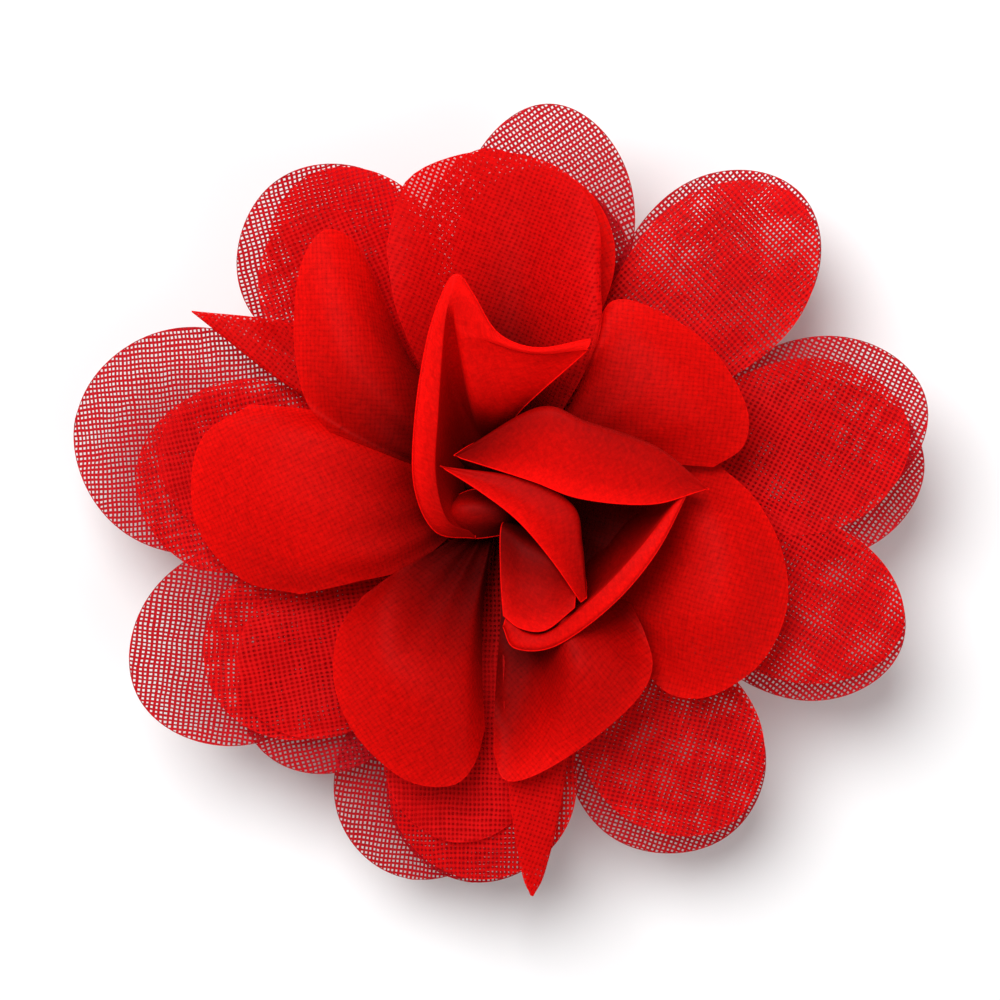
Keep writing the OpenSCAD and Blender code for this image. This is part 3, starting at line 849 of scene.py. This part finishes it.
def down_the_neck(grid):
    """Rows that carry a sheet on below its root: drawn in round the thread, down to the felt."""
    root = grid[0]
    below = np.linspace(1, 0, NECK_ROWS, endpoint=False)[:, None]
    neck = np.empty((NECK_ROWS, grid.shape[1], 3))
    neck[..., :2] = root[:, :2] * (1 - (1 - NECK_SHARE) * below ** NECK_POWER)[..., None]
    neck[..., 2] = root[:, 2] + (felt_high[2] + NECK_CLEAR - root[:, 2]) * below
    return neck


lay_petal("middle_petal_2_sheet_2", "middle_petal_2", "chiffon_middle", "inner_petal_1",
          polar(84, ROOT_R, middle_z), polar(82, 24.6, middle_z + 2.2), 31.0, width=12.0, rise=6, droop=-4)
for index, (node, cloth, extra_root_shade, ribs) in enumerate(MIDDLE_PETALS):
    grid = loft(raised(ribs, middle_z), RIB_ROWS, RIB_COLS).transpose(1, 0, 2)
    gather(grid)
    stack.settle(grid)
    stack.add(grid, grid_faces(RIB_COLS, RIB_ROWS))
    neck = down_the_neck(grid)
    whole = np.concatenate([neck, grid])
    flat = flatten(whole, whole[..., :2])
    # painted shade near the root: it reaches past the neck, further for some petals, and deepens in low
    # places
    sheet_object(f"{node}_sheet_1", whole, flat, cloth, node, 23.0 + 41.0 * index,
                 root_start=-NECK_MM - extra_root_shade, hollow_z=middle_z)


# ---- Centre petals ----
# Each is drawn through rails from its root to its free rim, as (x, y, height over the centre
# petals' roots).

CONE_PETAL = [
    [(0.6, 4.9, 0), (0, 4.8, 0), (-0.6, 4.7, 0), (-1.1, 4.6, 0), (-1.4, 4.5, 0),
     (-1.7, 4.3, 0), (-2.2, 3.6, 0), (-2.6, 2.4, 0), (-2.6, 0.8, 0), (-2.2, -0.6, 0),
     (-1.6, -1.3, 0)],
    [(1.6, 6.6, 4), (0.8, 6.4, 4.3), (-0.4, 6.4, 4.7), (-2, 7, 5.4), (-2.4, 7.3, 3),
     (-3.4, 8, 2.8), (-3.9, 7.2, 3.6), (-4.1, 4.8, 3.8), (-4.2, 1.6, 3.4), (-3.2, -1, 2.4),
     (-2, -1.9, 1.2)],
    [(5.9, 10.4, 6.2), (2.6, 10, 7), (-0.4, 10.7, 7.6), (-2.8, 11.2, 8.2), (-3.2, 12, 7.2),
     (-3.9, 11.8, 7.2), (-4.2, 10, 7.4), (-4.5, 6, 6.8), (-4.65, 1.8, 5.2), (-3.9, -1.3, 3.6),
     (-1.9, -2.3, 1.4)],
    [(6.2, 10.8, 6.6), (2.6, 10.45, 7.5), (-0.4, 11.2, 8.1), (-2.8, 12.6, 8.8), (-3.4, 13.8, 9.3),
     (-3.8, 13.1, 9.2), (-4.15, 10.2, 8.6), (-4.5, 6, 7.5), (-4.7, 1.8, 5.9), (-3.8, -1.5, 4.1),
     (-1.8, -2.4, 1.7)],
    [(6.45, 11.3, 6.6), (2.6, 10.7, 7.6), (-0.2, 11.6, 8.2), (-2, 14.2, 9.2), (-3, 15.7, 9.6),
     (-3.7, 14.9, 9.5), (-4.9, 11.4, 8.6), (-5.8, 6, 7.3), (-5.9, 1.2, 5.6), (-4.5, -2, 3.7),
     (-1.8, -2.65, 1.5)],
    [(6.5, 11.6, 6.2), (2.7, 10.9, 7.2), (-0.1, 11.9, 7.8), (-1.8, 14.5, 8.8), (-2.9, 16, 9.2),
     (-3.9, 15.2, 9), (-5.2, 11.5, 8), (-6.1, 6, 6.6), (-6.2, 1, 4.9), (-4.7, -2.3, 3),
     (-1.8, -2.8, 1.2)],
]
HOOD_PETAL = [
    [(0.4, 4, 0), (2.6, 4.4, 0), (5, 4, 0), (6.4, 3.4, 0), (7.4, 2.6, 0)],
    [(-1.6, 4.2, 3.2), (2.7, 6.1, 4.4), (6.2, 5.1, 4.6), (9.6, 4, 4.2), (11.8, 2.4, 3.4)],
    [(-3.2, 3.3, 5.2), (2.7, 6.6, 7.8), (6.2, 5.6, 8.2), (11.4, 3.7, 7.4), (14.8, 0.9, 5.9)],
    [(-3.2, 3.2, 5.2), (2.6, 5.2, 8.2), (6.4, 4, 8.6), (11.2, 2.2, 7.8), (14.8, 0.8, 5.9)],
    [(-3.1, 3.1, 5.1), (2.2, 1.4, 7), (5.8, 0.1, 7.5), (10.8, -0.3, 7), (14.6, 0.7, 5.8)],
]
FOLDED_LIP = [
    [(1.4, -0.2, 0), (2.2, -0.5, 0), (2.8, -1, 0), (3.4, -1.8, 0), (3.8, -3, 0)],
    [(-1, 1.4, 3.2), (2.2, 1, 3.4), (4.8, -0.8, 3.6), (5.6, -2.8, 3.4), (6, -5.2, 2.8)],
    [(-4.1, 2.4, 4.9), (1.6, 1.6, 6), (5.2, -0.4, 6.4), (5.9, -3.4, 5.9), (6.25, -6.9, 4.5)],
    [(-4.1, 2.35, 4.95), (0.4, 0.9, 6.3), (3.6, -1.4, 6.7), (5, -4, 6), (6.15, -7.15, 4.5)],
    [(-4.1, 2.3, 4.9), (-1.4, 0.6, 5.6), (1.3, -1.5, 5.9), (3.7, -4.3, 5.4), (5.85, -7.4, 4.35)],
]
STANDING_PETAL = [
    [(9.6, -0.3, 0), (8.4, -2.4, 0), (6.2, -4.6, 0), (3.6, -6.2, 0), (2.2, -6.4, 0),
     (1.4, -5.9, 0)],
    [(12.4, 0.3, 2.8), (9.7, -3.2, 3), (6.8, -6.5, 2.8), (3.7, -9.1, 2.2), (2, -9.1, 1.9),
     (0.9, -7.8, 1.6)],
    [(13.1, 0.6, 5.5), (10.1, -3.3, 6.4), (7, -6.7, 5.9), (3.7, -9.45, 4.3), (1.8, -9.5, 3.6),
     (0.6, -8.2, 2.8)],
    [(13.2, 0.6, 6), (10.2, -3.4, 6.9), (7.1, -6.8, 6.4), (3.7, -9.6, 4.8), (1.7, -9.7, 4.1),
     (0.5, -8.3, 3.2)],
    [(13.6, 0.9, 6), (11, -3.6, 7), (7.8, -7.4, 6.5), (3.9, -10.25, 4.9), (1.3, -10.45, 4.1),
     (0.3, -9, 3.3)],
    [(13.7, 0.9, 5.7), (11.2, -3.8, 6.7), (8, -7.6, 6.2), (4, -10.55, 4.6), (1.1, -10.75, 3.7),
     (0.2, -9.2, 2.9)],
]
ROUND_PETAL = [
    [(1, -1.6, 0), (1.8, -2, 0), (2.6, -2, 0), (3.4, -1.8, 0)],
    [(0.1, -1.9, 3.2), (1.6, -2.9, 4.2), (3.6, -3.7, 4.4), (5.4, -4.2, 3.6)],
    [(0.05, -5.4, 3.5), (1.6, -6.2, 4.4), (3.4, -6.4, 4.6), (5.5, -6, 3.8)],
    [(0.25, -8.4, 3.6), (1.5, -9.3, 4), (3.3, -9.4, 4.4), (5.4, -7.8, 4.2)],
]
BUD_PETAL = [
    [(1.2, 0.8, 0), (1.4, -0.4, 0), (1.2, -1.6, 0), (0.6, -2.4, 0)],
    [(0, 0.7, 1.4), (0.3, -0.3, 3), (0.3, -1.5, 2.8), (-0.1, -2.6, 1.2)],
    [(-1.8, 0.8, 1.4), (-1.9, -0.2, 3.5), (-1.9, -1.6, 3.3), (-2, -2.8, 1.2)],
    [(-3, 0.4, 1), (-3.5, -0.4, 2.7), (-3.6, -1.4, 2.5), (-3.2, -2.4, 1.1)],
    [(-3.2, 0.1, -0.6), (-3.7, -0.5, 0), (-3.8, -1.2, 0), (-3.4, -2.1, -0.2)],
]
# (piece, node, rails, distance from the gathers that its painted root shade starts at)
CENTRE_PETALS = [
    ("cone_petal", "centre_petal_1", CONE_PETAL, 3.0),
    ("hood_petal", "centre_petal_2", HOOD_PETAL, -2.5),
    ("folded_lip", "centre_petal_3", FOLDED_LIP, -0.5),
    ("bud_petal", "centre_petal_4", BUD_PETAL, -0.5),
    ("standing_petal", "centre_petal_5", STANDING_PETAL, 2.0),
    ("round_petal", "centre_petal_6", ROUND_PETAL, -1.5),
]
CENTRE_ROWS = 52
CENTRE_COLS = 72
for index, (name, node, rails, root_start) in enumerate(CENTRE_PETALS):
    grid = loft(raised(rails, centre_z), CENTRE_ROWS, CENTRE_COLS)
    flat = flatten(grid, unrolled(grid))
    sheet_object(name, grid, flat, "chiffon_centre", node, 11.0 + 29.0 * index,
                 bead=BEAD_RADIUS, root_start=root_start)


# ---- Thread, felt, glue and spring ----

class Bundle:
    """Tubes gathered into one mesh, with UVs of turns round and millimetres along."""

    def __init__(self):
        self.points = []
        self.faces = []
        self.uvs = []

    def add_tube(self, path, radius, sides=8):
        """A tube with closed ends along path; radius is one number or one for each point."""
        path = np.asarray(path, float)
        count = len(path)
        radii = np.broadcast_to(radius, count)
        along = unit(np.gradient(path, axis=0))
        side = np.cross(along[0], (0.31, 0.22, 0.93))
        turns = np.linspace(0, 1, sides + 1)
        first = len(self.points)
        for place, tangent, r, reach in zip(path, along, radii, length_along(path)):
            side = unit(side - tangent * (side @ tangent))
            other = np.cross(tangent, side)
            for turn in turns:
                angle = math.tau * turn
                self.points.append(place + r * (math.cos(angle) * side + math.sin(angle) * other))
                self.uvs.append((turn, reach))
        last = first + (count - 1) * (sides + 1)
        self.faces += [tuple(first + k for k in face) for face in grid_faces(count - 1, sides)]
        self.faces.append(tuple(first + col for col in reversed(range(sides))))
        self.faces.append(tuple(last + col for col in range(sides)))

    def build(self, name, slot):
        obj = make_mesh(name, self.points, self.faces, slot)
        add_uv(obj.data, self.uvs)
        return obj


def wobble(angles, rng, waves=range(3, 15)):
    """Smooth uneven values, of about -1 to 1, round a closed outline."""
    total = np.zeros_like(angles)
    for wave in waves:
        total += rng.normal() / wave ** 0.5 * np.cos(wave * angles + rng.uniform(0, math.tau))
    return total / np.abs(total).max()


PAD_RINGS = 16
PAD_EDGE_STEPS = 9


def pad(name, slot, outline, low, high, edge_round, lumps):
    """A flat pad between two heights, with a rounded edge that follows a closed outline."""
    rng = np.random.default_rng(7)
    reach = np.linalg.norm(outline, axis=1, keepdims=True)
    middle = (low + high) / 2
    half = (high - low) / 2

    def face_ring(share, side):
        """A lumpy ring on the top (side 1) or the bottom (side -1), at share of the way out."""
        ring = outline * (1 - edge_round / reach) * share
        rough = rng.normal(0, lumps, len(ring)) * min(1.0, 2 - 2 * share)
        return np.column_stack([ring, middle + side * (half - lumps) + rough])

    def edge_ring(angle):
        ring = outline * (1 - edge_round * (1 - math.cos(angle)) / reach)
        return np.column_stack([ring, np.full(len(ring), middle + half * math.sin(angle))])

    shares = np.linspace(0.04, 1.0, PAD_RINGS)
    angles = np.linspace(math.pi / 2, -math.pi / 2, PAD_EDGE_STEPS)[1:-1]
    points = [face_ring(share, 1) for share in shares]
    points += [edge_ring(angle) for angle in angles]
    points += [face_ring(share, -1) for share in shares[::-1]]
    count = len(outline)
    faces = []
    for row in range(len(points) - 1):
        for col in range(count):
            a = row * count + col
            b = row * count + (col + 1) % count
            faces.append((a, a + count, b + count, b))
    faces.append(tuple(range(count)))
    faces.append(tuple(reversed(range((len(points) - 1) * count, len(points) * count))))
    return make_mesh(name, np.concatenate(points), faces, slot)


FELT_EDGE_WANDER = 0.14
FELT_POINTS = 220
FELT_LUMPS = 0.025
FIBRE_COUNT = 420
FIBRE_STEPS = 5
RIM_FIBRE_SHARE = 0.55


def felt_disc(rng):
    """The cut felt disc and the loose fibres on its rim and underside."""
    radius = (felt_high[0] - felt_low[0]) / 2 - FELT_EDGE_WANDER
    angles = np.linspace(0, math.tau, FELT_POINTS, endpoint=False)
    rim = radius + FELT_EDGE_WANDER * wobble(angles, rng)
    outline = np.column_stack([rim * np.cos(angles), rim * np.sin(angles)])
    disc = pad("felt_disc", "red_felt", outline, felt_low[2], felt_high[2], 0.3, FELT_LUMPS)
    attach(disc, "red_felt", "felt_backing")

    fuzz = Bundle()
    for _ in range(FIBRE_COUNT):
        angle = rng.uniform(0, math.tau)
        on_rim = rng.random() < RIM_FIBRE_SHARE
        r = radius - 0.1 if on_rim else radius * rng.uniform(0.4, 0.97)
        z = rng.uniform(felt_low[2] + 0.1, felt_high[2] - 0.2) if on_rim else felt_low[2] + 0.05
        place = np.array([r * math.cos(angle), r * math.sin(angle), z])
        outward = np.array([math.cos(angle), math.sin(angle), rng.uniform(-0.6, 0.3)])
        any_way = np.array([math.cos(angle * 7), math.sin(angle * 7), rng.uniform(-0.5, -0.1)])
        way = unit(outward if on_rim else any_way)
        bend = rng.normal(0, 0.35, 3)
        reach = rng.uniform(0.3, 0.85)
        steps = np.linspace(0, 1, FIBRE_STEPS)[:, None]
        path = place + reach * (steps * way + steps ** 2 * bend)
        path[:, 2] = np.clip(path[:, 2], felt_low[2] - 0.3, felt_high[2])
        fuzz.add_tube(path, np.linspace(0.02, 0.008, FIBRE_STEPS), sides=3)
    fibres = fuzz.build("felt_fibres", "red_felt")
    attach(fibres, "red_felt")


GLUE_SQUEEZE = 0.55
GLUE_POINTS = 180
GLUE_LUMPS = 0.012


def glue_bead(rng):
    """Hot glue pressed out between the felt and the clip base."""
    length = glue_high[0] - glue_low[0]
    width = glue_high[1] - glue_low[1]
    angles = np.linspace(0, math.tau, GLUE_POINTS, endpoint=False)
    straight = (length - width) / 2
    round_x = width / 2 * np.cos(angles)
    outline = np.column_stack([round_x + straight * np.clip(4 * np.cos(angles), -1, 1),
                               width / 2 * np.sin(angles)])
    pressed = 1 + GLUE_SQUEEZE * (0.4 + 0.6 * wobble(angles, rng, range(2, 9))) / (width / 2)
    outline[:, 1] *= pressed
    outline[:, 0] += GLUE_SQUEEZE * np.cos(angles) * wobble(angles, rng, range(2, 7))
    bead = pad("glue_bead", "hot_glue", outline, glue_low[2] + 0.01, glue_high[2], 0.24, GLUE_LUMPS)
    attach(bead, "hot_glue", "glue_pad")


STITCH_RING = 8.4
STITCH_LENGTH = 2.5
STITCHES_A_SIDE = 6
THREAD_RADIUS = 0.15
KNOT_AT = math.radians(66)


def sewn_thread():
    """The thread that gathers the petals, and its stitches through the felt on both sides of the clip."""
    bundle = Bundle()
    thread_low, thread_high = box_mm("gathering_thread")
    winding_r = (thread_high[0] - thread_low[0]) / 2 - THREAD_RADIUS
    turns = (thread_high[2] - thread_low[2]) / (2.1 * THREAD_RADIUS)
    climb = thread_high[2] - thread_low[2] - 2 * THREAD_RADIUS
    t = np.linspace(0, 1, int(24 * turns))
    angle = math.tau * turns * t
    bundle.add_tube(np.column_stack([
        winding_r * np.cos(angle), winding_r * np.sin(angle), thread_low[2] + THREAD_RADIUS + climb * t,
    ]), THREAD_RADIUS)

    under = felt_low[2] - THREAD_RADIUS * 0.7
    t = np.linspace(0, 1, 15)
    for side in (1, -1):
        for place in np.linspace(42, 138, STITCHES_A_SIDE):
            middle = math.radians(side * place)
            radial = np.array([math.cos(middle), math.sin(middle)])
            across = np.array([-radial[1], radial[0]])
            slant = 0.12 * math.sin(place)
            flat = STITCH_RING * radial + np.outer((t - 0.5) * STITCH_LENGTH, across + slant * radial)
            sunk = np.clip(1 - np.sin(math.pi * t) * 3, 0, 1)
            bundle.add_tube(np.column_stack([flat, under + 0.5 * sunk]), THREAD_RADIUS)

    knot = np.array([STITCH_RING * math.cos(KNOT_AT), STITCH_RING * math.sin(KNOT_AT), under - 0.2])
    t = np.linspace(0, 1, 90)
    loops = np.column_stack([
        0.42 * np.cos(math.tau * 3 * t), 0.36 * np.sin(math.tau * 4 * t + 0.6),
        0.16 * np.cos(math.tau * 5 * t),
    ])
    bundle.add_tube(knot + loops, THREAD_RADIUS)
    t = np.linspace(0, 1, 24)
    tail = np.column_stack([0.3 + 3.2 * t, 0.5 * np.sin(3.4 * t) + 1.1 * t, 0.2 * t ** 0.5])
    bundle.add_tube(knot + tail, THREAD_RADIUS * np.linspace(1, 0.8, len(t)))
    attach(bundle.build("sewn_thread", "red_thread"), "red_thread", "gathering_thread")


COIL_TURNS = 7.5
COIL_STEPS = 240
LEG_STEPS = 12
WIRE_RADIUS = 0.25


def coil_spring():
    """The torsion spring: a coil round the pin, with a leg under the base and one on the lever.
    """
    pivot = (pin_low + pin_high) / 2
    radius = spring_high[0] - pivot[0] - WIRE_RADIUS
    half = (spring_high[1] - spring_low[1]) / 2 - WIRE_RADIUS
    leg_x = spring_low[0] + WIRE_RADIUS
    upper_end = np.array([leg_x, half, spring_high[2] - WIRE_RADIUS])
    lower_end = np.array([leg_x, -half, spring_low[2] + WIRE_RADIUS])
    t = np.linspace(0, 1, COIL_STEPS)
    angle = math.pi / 2 - math.tau * COIL_TURNS * t
    coil = np.column_stack([
        pivot[0] + radius * np.cos(angle), half * (1 - 2 * t), pivot[2] + radius * np.sin(angle),
    ])
    share = np.linspace(0, 1, LEG_STEPS, endpoint=False)[:, None]
    upper_leg = upper_end + share * (coil[0] - upper_end)
    lower_leg = (lower_end + share * (coil[-1] - lower_end))[::-1]
    wire = Bundle()
    wire.add_tube(np.concatenate([upper_leg, coil, lower_leg]), WIRE_RADIUS, sides=12)
    spring = wire.build("coil_spring", "spring_steel")
    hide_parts("torsion_spring")
    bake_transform(spring)


fastening_rng = np.random.default_rng(11)
glue_bead(fastening_rng)
felt_disc(fastening_rng)
sewn_thread()
coil_spring()


# ---- Light, floor and camera ----

LIGHT_TARGET = (0, 0, 0.01)
LIGHT_SIZE = 0.4
FLOOR_REACH = 3.0
SKY_STRENGTH = 0.26


def area_light(name, place, power):
    data = bpy.data.lights.new(name, "AREA")
    data.shape = "DISK"
    data.size = LIGHT_SIZE
    data.energy = power
    light = new_object(name, data)
    light.location = place
    aim = np.array(LIGHT_TARGET) - np.array(place)
    light.rotation_euler = Vector(aim).to_track_quat("-Z", "Y").to_euler()


def make_stage():
    floor = bpy.data.meshes.new("floor")
    corners = [(x * FLOOR_REACH, y * FLOOR_REACH, 0) for x, y in ((-1, -1), (1, -1), (1, 1), (-1, 1))]
    floor.from_pydata(corners, [], [(0, 1, 2, 3)])
    floor.materials.append(floor_material())
    new_object("floor", floor)

    world = bpy.data.worlds.new("studio")
    world.use_nodes = True
    background = world.node_tree.nodes["Background"]
    background.inputs["Color"].default_value = (1.0, 1.0, 1.0, 1.0)
    background.inputs["Strength"].default_value = SKY_STRENGTH
    bpy.context.scene.world = world

    area_light("overhead", (-0.15, 0.23, 0.55), 3.75)
    area_light("fill", (0.3, -0.2, 0.5), 0.7)


FRAME_WIDTH = 75 * MM


def make_camera():
    """A long lens straight above, with a frame FRAME_WIDTH wide at the back petals' roots."""
    data = bpy.data.cameras.new("camera")
    data.sensor_width = 36.0
    data.lens = 135.0
    data.clip_start = 0.01
    data.clip_end = 20.0
    data.dof.use_dof = False
    camera = new_object("camera", data)
    camera.location = (0.0, 0.0, back_z * MM + FRAME_WIDTH * data.lens / data.sensor_width)
    bpy.context.scene.camera = camera


make_stage()
make_camera()
bpy.context.scene.view_settings.view_transform = "Standard"

for node, obj in frame["nodes"].items():
    obj.data.materials.clear()
    obj.data.materials.append(MATERIALS[SLOTS[node]])
